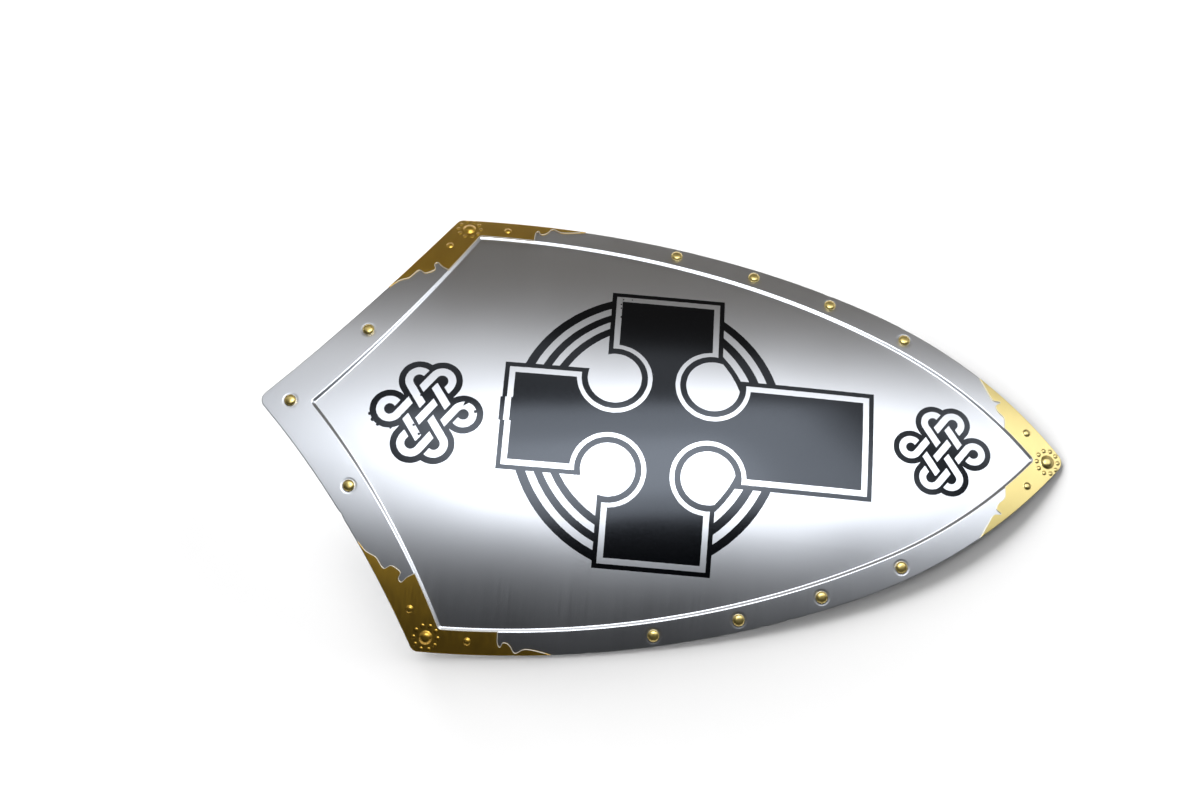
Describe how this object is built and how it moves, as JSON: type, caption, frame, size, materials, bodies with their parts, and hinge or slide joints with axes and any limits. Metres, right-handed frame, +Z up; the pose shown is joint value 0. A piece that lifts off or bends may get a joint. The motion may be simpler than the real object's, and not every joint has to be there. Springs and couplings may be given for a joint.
{
  "type": "decorative metal shield",
  "caption": "Bowed steel display shield with a raised riveted border, brass plates at its corners and tip, and a black ringed cross between knots printed on its field.",
  "frame": {"origin": "on the surface that the shield lies on, under the middle of its bounding box", "axes": "+X along the shield's middle line, from its top point towards its tip; +Y towards the side that the node names call left; +Z up, out of the shield's face"},
  "size_m": [0.7062, 0.4116, 0.0532],
  "materials": {
    "steel": "satin brushed steel with a glossy black print on the field",
    "brass": "finely brushed golden brass"
  },
  "bodies": {
    "root": {"shield_plate": "steel", "corner_plate_left": "brass", "corner_plate_right": "brass", "tip_plate": "brass", "rivet_top_point": "brass", "rivet_top_edge_left": "brass", "rivet_top_edge_right": "brass", "rivet_side_1_left": "brass", "rivet_side_1_right": "brass", "rivet_side_2_left": "brass", "rivet_side_2_right": "brass", "rivet_side_3_left": "brass", "rivet_side_3_right": "brass", "rivet_side_4_left": "brass", "rivet_side_4_right": "brass"}
  },
  "joints": []
}
